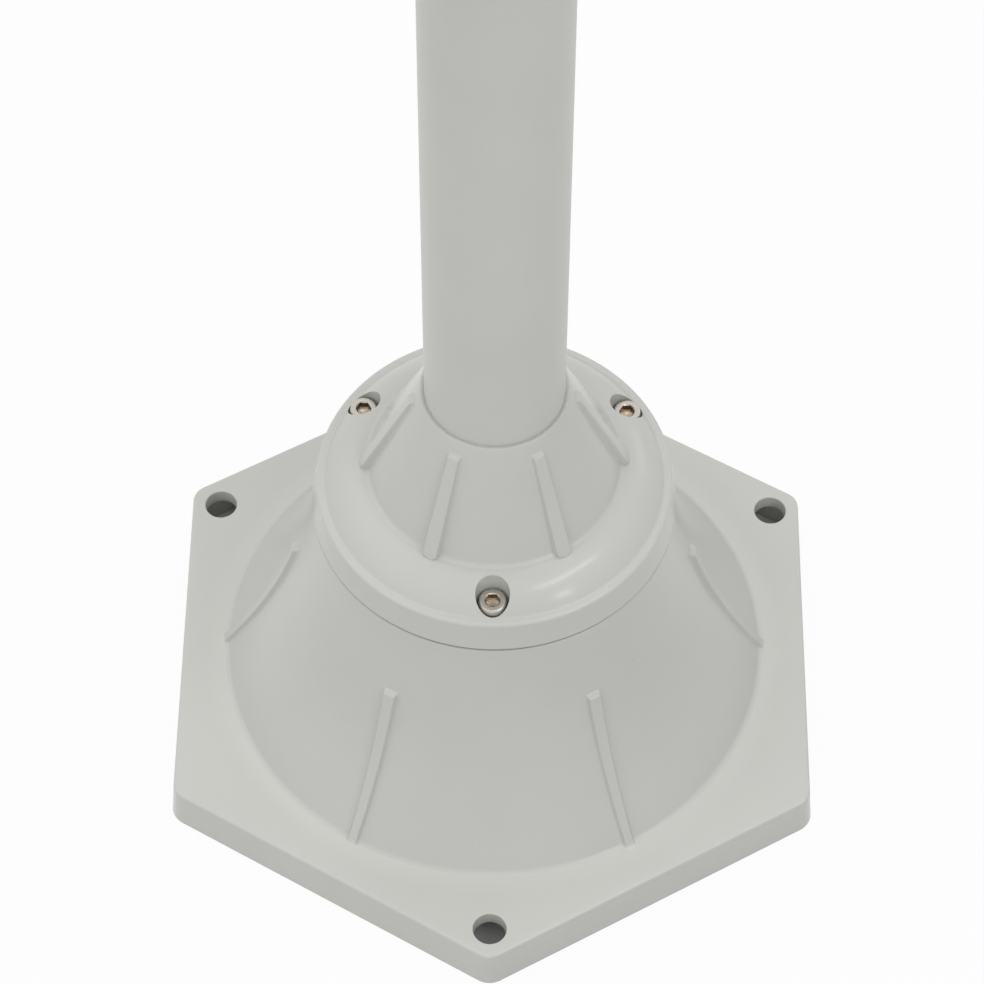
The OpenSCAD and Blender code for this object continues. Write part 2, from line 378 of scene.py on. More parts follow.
@dataclass(frozen=True)
class Columns:
    """The columns of half a sector, close together on the rib's edges and wider beside it."""

    rib: tuple[float, ...]
    beside: int = 16
    on_flat: int = 10

    @classmethod
    def over(cls, rib: Rib) -> Columns:
        """Set the columns over a rib.

        Args:
            rib: The rib.

        Returns:
            The columns, as shares of the rib's half width.
        """
        low, high = rib.crest_share - 0.14, rib.crest_share + 0.08
        return cls(rib=(
            *spaced(0.0, low, 3), *spaced(low, high, 5), *spaced(high, 0.94, 2),
            *spaced(0.94, 1.18, 5), 1.18, 1.4,
        ))

    @property
    def count(self) -> int:
        """Number of steps in half a sector."""
        return len(self.rib) - 1 + self.beside

    def place(self, station: Station, rib: Rib, column: int) -> Vector:
        """Place of one corner of the skin, with the rib's middle along +X.

        Args:
            station: The row.
            rib: The rib on this sector.
            column: Number of the column, negative on the other side of the rib.

        Returns:
            The place in millimetres.
        """
        number = abs(column)
        last = self.rib[-1] * rib.half_width(station)
        if number < len(self.rib):
            side = self.rib[number] * rib.half_width(station)
            angle = math.asin(side / station.r)
            rise = rib.rise(station, side)
            flat = Vector((station.r, side))
        else:
            step = number - len(self.rib) + 1
            first = math.asin(last / station.r)
            angle = first + (SIXTH / 2 - first) * step / self.beside
            rise = 0.0
            flat = self._outline(station, step, last)
        out = station.r + station.nr * rise
        round_ = Vector((out * math.cos(angle), out * math.sin(angle)))
        plan = round_.lerp(flat, station.hexed)
        return Vector((plan.x, math.copysign(plan.y, column), station.z + station.nz * rise))

    def _outline(self, station: Station, step: int, first: float) -> Vector:
        """Find a point of the hexagon's outline: along its flat, then round its corner.

        Args:
            station: The row.
            step: Number of the step from the rib's side.
            first: Distance of the first step from the rib's middle plane.

        Returns:
            The point in plan.
        """
        middle = station.r - station.corner
        flat_end = middle * math.tan(SIXTH / 2)
        if step <= self.on_flat:
            return Vector((station.r, first + (flat_end - first) * step / self.on_flat))
        turn = SIXTH / 2 * (step - self.on_flat) / (self.beside - self.on_flat)
        return Vector(
            (middle + station.corner * math.cos(turn), flat_end + station.corner * math.sin(turn))
        )


@dataclass
class Casting:
    """A casting: the rows of its skin, in order round its section, with six equal ribs."""

    stations: list[Station] = field(default_factory=list, init=False)

    def add(self, r: float, z: float, **more: float) -> None:
        """Add one row at radius r and height z."""
        self.stations.append(Station(r, z, **more))

    def line(self, points: Iterable[Point], **more: float) -> None:
        """Add a row at each point, with other values of the rows."""
        self.stations += [Station(r, z, **more) for r, z in points]

    def arc(
        self, centre: Point, radius: float, start: float, end: float, steps: int, **more: float
    ) -> None:
        """Add rows along an arc as arc_points gives it, with other values of the rows."""
        self.line(arc_points(centre, radius, start, end, steps), **more)

    def hexed(self, points: Iterable[Point], middle: float) -> None:
        """Add rows round the hexagon, whose corners' arcs all turn about the same middle."""
        self.stations += [Station(r, z, corner=r - middle, hexed=1) for r, z in points]

    def draw(self) -> None:
        """Add the rows of the skin."""
        raise NotImplementedError

    def rib(self) -> Rib:
        """The rib on each of the six sides."""
        raise NotImplementedError

    def cast(self, name: str) -> bpy.types.Object:
        """Make the closed skin, whose last row is joined to its first.

        Args:
            name: Name of the new object.

        Returns:
            The closed casting.
        """
        self.draw()
        rib = self.rib()
        columns = Columns.over(rib)
        rows = [*self.stations, self.stations[0]]

        def place(column: int, row: int) -> Vector:
            """Place of a corner, with columns counted from one edge of the sector."""
            return columns.place(rows[row], rib, column - columns.count)

        obj = sheet(name, 2 * columns.count, len(self.stations), place)
        ring_of(obj, SIDES)
        return obj


# ---------------------------------------------------------------- pieces


@dataclass
class BaseCasting(Casting):
    """The hexagonal plate with the hollow bell that grows out of it."""

    foot_flat: float
    height: float
    screw_circle: float
    bell_top: float = 66.8
    plate_h: float = 18.0
    flare: float = 1.4
    corner: float = 7.0
    edge: float = 1.2
    foot_edge: float = 0.5
    skin: float = 6.3
    wall: float = 4.0
    bell_margin: float = 17.4
    bell_arc: float = 230.0
    bell_wall: float = 5.0
    foot_fillet: float = 3.0
    land: float = 8.0
    land_edge: float = 0.8
    land_hole: float = 46.0
    rib_out_top: float = 2.0
    rib_out_foot: float = 1.8
    rib_drop: float = 32.0
    anchor_inset: float = 13.0
    anchor_r: float = 6.2
    lip: float = 0.5
    hole_edge: float = 0.5
    inside_edge: float = 0.6
    inside_fillet: float = 1.5
    ceiling_fillet: float = 2.0
    boss_r: float = 8.0
    boss_edge: float = 1.0
    boss_foot: float = 90.0
    tap_r: float = 3.05
    tap_depth: float = 22.0
    tap_point: float = 1.6
    rib_nose: float = 1.5

    def __post_init__(self) -> None:
        """Work out the bell's side arc from its two ends."""
        self.flat = self.foot_flat - self.flare
        self.bell_foot = self.flat - self.bell_margin
        top = Vector((self.bell_top, self.height))
        foot = Vector((self.bell_foot, self.plate_h))
        chord = foot - top
        side = Vector((-chord.y, chord.x)).normalized()
        half = chord.length / 2
        self.centre = (top + foot) / 2 + side * math.sqrt(self.bell_arc**2 - half**2)

    @classmethod
    def from_frame(cls) -> BaseCasting:
        """The base at the size of its node."""
        _, high = node_box("base_casting")
        low_screw, high_screw = node_box("collar_screw_front")
        return cls(
            foot_flat=high.x, height=high.z, screw_circle=-(low_screw.y + high_screw.y) / 2
        )

    def bell_r(self, z: float) -> float:
        """Radius of the bell's outside at a height."""
        return self.centre.x - math.sqrt(self.bell_arc**2 - (self.centre.y - z) ** 2)

    def lean(self, z: float) -> float:
        """Angle of the bell's normal over the horizontal at a height, in degrees."""
        return math.degrees(math.asin((self.centre.y - z) / self.bell_arc))

    def crest(self, station: Station) -> float:
        """Find the height of a bell rib, whose crest is the side arc moved outwards.

        Args:
            station: The row below it.

        Returns:
            The height along the row's direction.
        """
        share = (station.z - self.plate_h) / (self.height - self.rib_drop - self.plate_h)
        out = self.rib_out_foot + (self.rib_out_top - self.rib_out_foot) * share
        away = Vector((station.r - self.centre.x - out, station.z - self.centre.y))
        along = away.dot(Vector((station.nr, station.nz)))
        return -along - math.sqrt(max(along**2 - away.length_squared + self.bell_arc**2, 0.0))

    def draw(self) -> None:
        """Add the rows of the skin, from the land's hole outwards and back underneath."""
        hole, top = self.land_hole, self.height
        self.add(hole, top - self.land)
        self.arc((hole + self.hole_edge, top - self.hole_edge), self.hole_edge, 180, 90, steps=4)
        self.add(hole + 0.9, top)
        self._bell_rows()
        self._plate_rows()
        self._inside_rows()

    def _bell_rows(self) -> None:
        """Add the land's edge, the bell's side and its foot fillet."""
        lean_top = self.lean(self.height)
        edge_z = self.height - self.land_edge
        touch_z = edge_z + self.land_edge * math.sin(math.radians(lean_top))
        edge_r = self.bell_r(touch_z) - self.land_edge * math.cos(math.radians(lean_top))
        self.add(edge_r - 1.0, self.height)
        self.arc((edge_r, edge_z), self.land_edge, 90, lean_top, steps=5)
        lean_foot = self.lean(self.plate_h)
        reach = self.foot_fillet * math.tan(math.radians(90 - lean_foot) / 2)
        fillet = (self.bell_foot + reach, self.plate_h + self.foot_fillet)
        fillet_top = fillet[1] - self.foot_fillet * math.sin(math.radians(lean_foot))
        rib_top = self.height - self.rib_drop
        above, below, near_foot = rib_top + 1.0, rib_top - 3.0, fillet_top + 1.5
        heights = [
            *spaced(touch_z - 0.6, above, steps=9), *spaced(above, below, steps=16),
            *spaced(below, near_foot, steps=24), *spaced(near_foot, fillet_top, steps=3),
        ]
        for z in heights:
            lean = math.radians(self.lean(z))
            self.add(self.bell_r(z), z, nr=math.cos(lean), nz=math.sin(lean), ribbed=True)
        way = {"nr": math.cos(math.radians(lean_foot)), "nz": math.sin(math.radians(lean_foot))}
        self.arc(fillet, self.foot_fillet, 180 + lean_foot, 270, steps=10, ribbed=True, **way)
        for past in spaced(0.25, 4.0, steps=13):
            self.add(fillet[0] + past, self.plate_h, ribbed=True, **way)

    def _plate_rows(self) -> None:
        """Add the plate's top, its rounded edge and its leaning side wall."""
        start = self.stations[-1].r
        inner, corner = self.flat - self.edge, self.corner - self.edge
        for share in (0.35, 0.7, 0.93, 1.0):
            r = start + (inner - start) * share
            self.add(r, self.plate_h, corner=corner - (inner - r) * 0.4, hexed=share)
        rise = self.plate_h - self.edge
        lean = math.degrees(math.atan2(self.flare, rise))
        foot = (self.foot_flat - self.foot_edge, self.foot_edge)
        points = [
            *arc_points((inner, rise), self.edge, 90, lean, steps=6)[1:],
            *((self.flat + self.flare * share, rise * (1 - share)) for share in (0.06, 0.5, 0.94)),
            *arc_points(foot, self.foot_edge, 0, -90, steps=3),
        ]
        self.hexed(points, self.flat - self.corner)

    def _inside_rows(self) -> None:
        """Add the hollow under the plate and the inside of the bell."""
        inner, under = self.flat - self.wall, self.plate_h - self.skin
        edge, fillet = self.inside_edge, self.inside_fillet
        points = [
            (inner + edge, 0.0), (inner, edge),
            *arc_points((inner - fillet, under - fillet), fillet, 0, 90, steps=4),
        ]
        self.hexed(points, inner - self.corner / 2)
        foot = self.bell_r(under) - self.bell_wall
        self.add(foot + 3.0, under, corner=2.0, hexed=0.3)
        self.line([(foot + 0.8, under), (foot, under + 0.5)])
        ceiling = self.height - self.land
        fillet = self.ceiling_fillet
        heights = spaced(under + 2.5, ceiling - fillet, steps=20)
        self.line((self.bell_r(z) - self.bell_wall, z) for z in heights)
        wall_r = self.bell_r(ceiling) - self.bell_wall
        self.arc((wall_r - fillet, ceiling - fillet), fillet, 0, 90, steps=4)
        self.add(self.land_hole + self.inside_edge, ceiling)

    def rib(self) -> Rib:
        """The rib on each side of the bell."""
        top_z = self.height - self.rib_drop
        return Rib(
            half_top=2.9, half_nose=2.1, top_r=self.bell_r(top_z), top_z=top_z,
            nose_r=self.bell_foot + self.rib_out_foot + self.rib_nose, draft=2.6, end_draft=1.7,
            crest_round=0.8, root_round=0.6, crest_share=0.68, crest=self.crest,
        )

    def build(self, material: bpy.types.Material) -> None:
        """Cast the base, add its bosses, cut its holes and dress it.

        Args:
            material: The paint.
        """
        obj = self.cast("base_casting_painted")
        foot, root, edge = self.boss_foot, self.height - 3, self.boss_edge
        boss = [
            (0, foot), (self.boss_r - edge, foot), (self.boss_r, foot + edge),
            (self.boss_r, root), (0, root),
        ]
        at_corners(obj, boss, self.screw_circle, 40, "UNION")
        top, mouth_r = self.plate_h, self.anchor_r + self.lip
        lip = arc_points((mouth_r, top - self.lip), self.lip, 180, 90, steps=4)
        anchor = [(0, -5), (self.anchor_r, -5), *lip, (mouth_r, top + 5), (0, top + 5)]
        anchor_circle = self.flat / math.cos(SIXTH / 2) - self.anchor_inset
        at_corners(obj, anchor, anchor_circle, 64, "DIFFERENCE")
        foot, above = self.height - self.tap_depth, self.height + 2
        tap = [(0, foot - self.tap_point), (self.tap_r, foot), (self.tap_r, above), (0, above)]
        at_corners(obj, tap, self.screw_circle, 32, "DIFFERENCE")
        smooth(obj)
        dress(obj, material, "base_casting")


@dataclass
class Collar(Casting):
    """The collar: a drafted rim, a domed band and a ribbed cone round the post."""

    rim_r: float
    seat: float
    top: float
    sleeve_foot: float
    tube_r: float
    screw_circle: float
    head_r: float
    rim_h: float = 13.2
    rim_draft: float = 1.8
    rim_edge: float = 1.6
    foot_edge: float = 0.8
    rim_land: float = 1.6
    band_foot_fillet: float = 0.8
    band_rise: float = 9.6
    band_power: float = 2.2
    band_w: float = 20.8
    cone_fillet: float = 2.5
    cone_h: float = 44.0
    lip: float = 1.2
    tube_gap: float = 0.4
    bead_depth: float = 0.35
    bead_play: float = 0.05
    wall: float = 4.5
    bead_w: float = 0.9
    spigot_r: float = 45.6
    spigot_len: float = 7.0
    spigot_wall: float = 4.0
    spigot_edge: float = 0.6
    sleeve_wall: float = 4.4
    sleeve_edge: float = 0.8
    ledge: float = 4.0
    ledge_edge: float = 0.5
    cable_r: float = 18.0
    head_clear: float = 1.4
    bore_draft: float = 3.5
    bore_edge: float = 0.3
    top_edge: float = 0.6
    shank_r: float = 3.3
    seat_drop: float = 3.0
    set_r: float = 3.05
    set_z: float = 108.5
    rib_drop: float = 5.0
    rib_out_top: float = 1.4
    rib_out_foot: float = 3.2
    rib_nose: float = -0.4
    rib_turn: float = 1.9

    def __post_init__(self) -> None:
        """Work out the heights and radii that follow, and the line of the ribs' crests."""
        self.rim_top = self.seat + self.rim_h
        self.band_top = self.rim_top + self.band_rise
        self.cone_foot = self.rim_r - self.band_w
        self.hole_r = self.tube_r + self.tube_gap
        self.cone_top = self.hole_r + self.lip
        self.lean = math.degrees(math.atan2(self.cone_foot - self.cone_top, self.cone_h))
        rib_top = self.top - self.rib_drop
        self.crest_top = Vector((self._cone_r(rib_top) + self.rib_out_top, rib_top))
        nose = Vector((self.cone_foot + self.rib_out_foot, self.band_top - 0.5))
        along = (nose - self.crest_top).normalized()
        self.rib_way = Vector((-along.y, along.x))

    @classmethod
    def from_frame(cls) -> Collar:
        """The collar at the size of its node."""
        low, high = node_box("collar_casting")
        gasket = node_box("collar_gasket")
        tube = node_box("post_tube")
        screw = node_box("collar_screw_front")
        return cls(
            rim_r=high.x, seat=gasket[1].z, top=high.z, sleeve_foot=low.z, tube_r=tube[1].x,
            screw_circle=-(screw[0].y + screw[1].y) / 2, head_r=(screw[1].x - screw[0].x) / 2,
        )

    def crest(self, station: Station) -> float:
        """Height of a collar rib: its crest runs straight from its upper end to its nose."""
        return (self.crest_top - Vector((station.r, station.z))).dot(self.rib_way)

    def _cone_r(self, z: float) -> float:
        """Radius of the cone at a height."""
        return self.cone_top + (self.top - z) * math.tan(math.radians(self.lean))

    def draw(self) -> None:
        """Add the rows of the skin, from the spigot outwards, up and back through the bore."""
        foot, edge, out = self.seat - self.spigot_len, self.spigot_edge, self.spigot_r
        self.line([(out - edge, foot), (out, foot + edge), (out, self.seat)])
        self._rim_rows()
        self._band_rows()
        self._cone_rows()
        self._bore_rows()

    def _rim_rows(self) -> None:
        """Add the rim's underside, its leaning wall and its rounded top edge."""
        middle = (self.rim_r - self.rim_draft - self.rim_edge, self.rim_top - self.rim_edge)
        reach = Vector((self.rim_r - middle[0], middle[1] - self.seat))
        lean = math.degrees(
            math.atan2(reach.x, reach.y) - math.asin(self.rim_edge / reach.length)
        )
        self.add(self.rim_r - 2.0, self.seat)
        foot = (self.rim_r - self.foot_edge, self.seat + self.foot_edge)
        self.arc(foot, self.foot_edge, -90, lean, steps=4)
        first = self.stations[-1]
        last = Vector(middle) + self.rim_edge * Vector(
            (math.cos(math.radians(lean)), math.sin(math.radians(lean)))
        )
        for share in (0.08, 0.5, 0.94):
            self.add(first.r + (last.x - first.r) * share, first.z + (last.y - first.z) * share)
        self.arc(middle, self.rim_edge, lean, 90, steps=8)

    def _band_rows(self) -> None:
        """Add the flat land inside the rim and the domed band."""
        outer = self.rim_r - self.rim_draft - self.rim_edge
        foot = outer - self.rim_land
        reach = foot - self.cone_foot
        fillet = self.band_foot_fillet
        for share in (0.1, 0.5):
            self.add(outer - (self.rim_land - fillet * 0.5) * share, self.rim_top)
        steep = math.atan(self.band_power * self.band_rise / reach)
        for share in (0.2, 0.45, 0.7):
            turn = steep * share
            self.add(foot + fillet * (0.5 - math.sin(turn)),
                     self.rim_top + fillet * (1 - math.cos(turn)))
        fillet_reach = self.cone_fillet * math.tan(math.radians(90 - self.lean) / 2)
        way = {"nr": self.rib_way.x, "nz": self.rib_way.y, "ribbed": True}
        first, last = 1 - fillet * 0.4 / reach, fillet_reach / reach
        for share in (*spaced(first, last, steps=30), last):
            self.add(self.cone_foot + reach * share,
                     self.band_top - self.band_rise * share**self.band_power, **way)
        top = self.cone_foot + fillet_reach
        self.add(top, self.band_top, **way)
        self.arc((top, self.band_top + self.cone_fillet), self.cone_fillet,
                 270, 180 + self.lean, steps=8, **way)

    def _cone_rows(self) -> None:
        """Add the cone and the rounded lip at its top."""
        rib_top = self.top - self.rib_drop
        start = self.stations[-1].z
        below, above, last = rib_top - 2.5, rib_top + 1.0, self.top - 1.0
        heights = [
            *spaced(start + 0.8, below, steps=16), *spaced(below, above, steps=14),
            *spaced(above, last, steps=3), last,
        ]
        for z in heights:
            self.add(self._cone_r(z), z, nr=self.rib_way.x, nz=self.rib_way.y, ribbed=True)
        middle = (self._cone_r(self.top) - self.top_edge * 0.8, self.top - self.top_edge)
        self.arc(middle, self.top_edge, self.lean, 80, steps=5)

    def _bore_rows(self) -> None:
        """Add the bead of paint at the tube, the bore, its ledge, the sleeve and the hollow."""
        ledge = self.sleeve_foot + self.ledge
        sleeve = self.hole_r + self.sleeve_wall
        hollow = self.spigot_r - self.spigot_wall
        slope = math.tan(math.radians(self.lean))
        offset = self.wall / math.cos(math.radians(self.lean))
        hollow_top = self.top - (sleeve + offset - self.cone_top) / slope
        hollow_side = self.top - (hollow + offset - self.cone_top) / slope
        bead_r, bead_z = self.tube_r + self.bead_play, self.top - self.bead_depth
        for share in (0.6, 0.25, 0.0):
            self.add(bead_r + self.bead_w * share, bead_z + self.bead_depth * share**1.5)
        self.line([
            (bead_r, bead_z - 2.0), (self.hole_r, bead_z - 2.5), (self.hole_r, self.top - 20.0),
            (self.hole_r, ledge + 0.4), (self.hole_r - 0.4, ledge),
        ])
        edge, outer = self.ledge_edge, self.sleeve_edge
        self.arc((self.cable_r + edge, ledge - edge), edge, 90, 180, steps=3)
        self.arc((self.cable_r + edge, self.sleeve_foot + edge), edge, 180, 270, steps=3)
        self.arc((sleeve - outer, self.sleeve_foot + outer), outer, 270, 360, steps=4)
        foot, edge = self.seat - self.spigot_len, self.spigot_edge
        self.line([
            (sleeve, self.seat), (sleeve, hollow_top - 1.0), (sleeve + 0.4, hollow_top - 0.6),
            (hollow - 0.3, hollow_side + 0.6), (hollow, hollow_side - 0.8),
            (hollow, foot + edge), (hollow + edge, foot),
        ])

    def rib(self) -> Rib:
        """The wedge-shaped rib on each side of the cone."""
        rib_top = self.top - self.rib_drop
        return Rib(
            half_top=2.4, half_nose=3.7, top_r=self._cone_r(rib_top), top_z=rib_top,
            nose_r=self.cone_foot + self.rib_out_foot + self.rib_nose, draft=2.9, end_draft=1.4,
            crest_round=0.7, root_round=0.7, crest_share=0.74, crest=self.crest,
        )

    def build(self, material: bpy.types.Material) -> None:
        """Cast the collar, cut its holes and dress it.

        Args:
            material: The paint.
        """
        obj = self.cast("collar_casting_painted")
        moved(obj, Vector((0, 0, 0)), math.radians(self.rib_turn))
        bore_r, floor = self.head_r + self.head_clear, self.rim_top - self.seat_drop
        foot_r = bore_r - (self.band_top - floor) * math.tan(math.radians(self.bore_draft))
        bore = [
            (0, self.seat - 5), (self.shank_r, self.seat - 5), (self.shank_r, floor),
            (foot_r - self.bore_edge, floor), (foot_r, floor + self.bore_edge),
            (bore_r, self.band_top), (bore_r, self.top), (0, self.top),
        ]
        at_corners(obj, bore, self.screw_circle, 64, "DIFFERENCE")
        reach = self.hole_r + self.sleeve_wall + 2
        grub = turned(
            "grub_hole", [(0, 0), (self.set_r, 0), (self.set_r, reach), (0, reach)], steps=24
        )
        grub.data.transform(Matrix.Rotation(math.radians(90), 4, "X"))
        moved(grub, Vector((0, 0, self.set_z)))
        ring_of(grub, len(Side))
        boolean(obj, grub, "DIFFERENCE")
        smooth(obj)
        dress(obj, material, "collar_casting")


@dataclass
class PostTube:
    """The lower length of the round post tube."""

    radius: float
    foot: float
    top: float
    wall: float = 2.5
    edge: float = 0.5

    @classmethod
    def from_frame(cls) -> PostTube:
        """The tube at the size of its node."""
        low, high = node_box("post_tube")
        return cls(radius=high.x, foot=low.z, top=high.z)

    def build(self, material: bpy.types.Material) -> None:
        """Turn the tube with deburred ends and dress it.

        Args:
            material: The paint.
        """
        outer, inner, edge = self.radius, self.radius - self.wall, self.edge
        obj = turned("post_tube_painted", [
            (outer, self.foot + edge),
            *((outer, z) for z in spaced(self.foot + 2, self.top - 2, steps=24)),
            *arc_points((outer - edge, self.top - edge), edge, 0, 90, steps=3),
            (inner + edge, self.top), (inner, self.top - edge),
            (inner, self.foot + edge), (inner + edge, self.foot), (outer - edge, self.foot),
        ], steps=160)
        smooth(obj)
        dress(obj, material, "post_tube")


@dataclass
class Gasket:
    """The thin rubber ring between base and collar."""

    radius: float
    foot: float
    top: float
    hole_r: float = 46.0

    @classmethod
    def from_frame(cls) -> Gasket:
        """The gasket at the size of its node."""
        low, high = node_box("collar_gasket")
        return cls(radius=high.x, foot=low.z, top=high.z)

    def build(self, material: bpy.types.Material) -> None:
        """Turn the ring with a slightly bulging edge and dress it.

        Args:
            material: The rubber.
        """
        half, middle = (self.top - self.foot) / 2, (self.top + self.foot) / 2
        bulge = arc_points((self.radius - half, middle), half, -90, 90, steps=6)
        obj = turned("collar_gasket_rubber", [
            (self.hole_r, self.foot), *bulge, (self.hole_r, self.top),
        ], steps=128)
        smooth(obj, angle=60)
        dress(obj, material, "collar_gasket")


@dataclass
class CapScrew:
    """A socket-head cap screw with a knurled head."""

    side: Side
    centre: Vector
    foot: float
    top: float
    head_r: float
    head_h: float = 6.0
    shank_r: float = 3.0
    socket_af: float = 5.0
    socket_depth: float = 3.0
    shank_edge: float = 0.6
    head_edge: float = 0.7
    lead_in: float = 0.45
    knurls: int = 36
    knurl_depth: float = 0.14
    knurl_foot: float = 0.8
    knurl_top: float = 1.0

    @classmethod
    def from_frame(cls, side: Side) -> CapScrew:
        """Take the screw's size and place from its node.

        Args:
            side: Which of the three screws it is.

        Returns:
            The screw.
        """
        low, high = node_box(f"collar_screw_{side.word}")
        centre = (low + high) / 2 * Vector((1, 1, 0))
        head_r = node_box("collar_screw_front")[1].x
        return cls(side=side, centre=centre, foot=low.z, top=high.z, head_r=head_r)

    def build(self, material: bpy.types.Material) -> None:
        """Turn, knurl and broach the screw, set it in its place and dress it.

        Args:
            material: The steel, turned about this screw's axis.
        """
        obj = turned(f"collar_screw_{self.side.word}_steel", self._profile(), 2 * self.knurls)
        low, high = self._knurled()
        for vertex in obj.data.vertices:
            place = vertex.co / MM
            reach = math.hypot(place.x, place.y)
            notch = round(math.atan2(place.y, place.x) / TAU * 2 * self.knurls) % 2
            if notch and low < place.z < high and reach > self.head_r - 0.05:
                vertex.co *= Vector((1 - self.knurl_depth / reach,) * 2 + (1,))
        boolean(obj, self._socket(), "DIFFERENCE")
        smooth(obj, angle=28)
        moved(obj, self.centre, math.radians(self.side.value))
        dress(obj, material, f"collar_screw_{self.side.word}")

    def _knurled(self) -> tuple[float, float]:
        """Lower and upper end of the knurling."""
        return self.top - self.head_h + self.knurl_foot, self.top - self.knurl_top

    def _profile(self) -> list[Point]:
        """Section of the screw, from the point of the shank up to the head's middle."""
        seat, point, edge = self.top - self.head_h, self.shank_edge, self.head_edge
        low, high = self._knurled()
        side = (seat + 0.2, low - 0.05, low + 0.05, high - 0.05, high + 0.1)
        return [
            (0.0, self.foot), (self.shank_r - point, self.foot),
            (self.shank_r, self.foot + point), (self.shank_r, seat - 0.3),
            (self.shank_r + 0.3, seat), (self.head_r - 0.2, seat),
            *((self.head_r, z) for z in side),
            *arc_points((self.head_r - edge, self.top - edge), edge, 0, 90, steps=5),
            (self.socket_af / 2 + 1.0, self.top), (0.0, self.top),
        ]

    def _socket(self) -> bpy.types.Object:
        """The broached hexagon with its lead-in cone and drilled bottom."""
        flat = self.socket_af / 2
        corner = flat / math.cos(SIXTH / 2)
        bottom, lead, drill_r = self.top - self.socket_depth, self.top - self.lead_in, flat - 0.3
        above, mouth_z, mouth_r = self.top + 1, self.top + 0.3, corner + self.lead_in
        broach = [(0, bottom), (corner, bottom), (corner, above), (0, above)]
        cutter = turned("broach", broach, SIDES)
        cone = [(0, lead), (flat - 0.05, lead), (mouth_r, mouth_z), (0, mouth_z)]
        boolean(cutter, turned("lead_in", cone, 48), "UNION")
        drill = [(0, bottom - 1), (drill_r, bottom), (drill_r, bottom + 1), (0, bottom + 1)]
        boolean(cutter, turned("drill", drill, 32), "UNION")
        return cutter


# ---------------------------------------------------------------- finishes


def math_method(operation: str, swapped: bool = False) -> Callable[..., Signal]:
    """Make a method that puts a signal and other values through a Math node.

    Args:
        operation: The node's operation.
        swapped: Whether the signal comes last instead of first.

    Returns:
        The method, which gives the node's output.
    """

    def method(self: Signal, *others: Signal | float) -> Signal:
        """Add the node and give its output."""
        values = (*others, self) if swapped else (self, *others)
        return self.graph.node("ShaderNodeMath", dict(enumerate(values)), operation=operation)

    return method


class Signal:
    """A node's output that can be used in sums, as if it were a number."""

    def __init__(self, graph: Graph, socket: bpy.types.NodeSocket) -> None:
        """Wrap a socket of a graph."""
        self.graph = graph
        self.socket = socket

    __add__ = __radd__ = math_method("ADD")
    __sub__, __rsub__ = math_method("SUBTRACT"), math_method("SUBTRACT", swapped=True)
    __mul__ = __rmul__ = math_method("MULTIPLY")
    __lt__, __abs__ = math_method("LESS_THAN"), math_method("ABSOLUTE")
    larger, sine = math_method("MAXIMUM"), math_method("SINE")

    def between(self, low: float, high: float) -> Signal:
        """Rise smoothly from nought at low to one at high.

        Args:
            low: The value that gives nought.
            high: The value that gives one.

        Returns:
            The clamped signal.
        """
        return self.graph.node(
            "ShaderNodeMapRange", {"Value": self, "From Min": low, "From Max": high},
            interpolation_type="SMOOTHSTEP",
        )


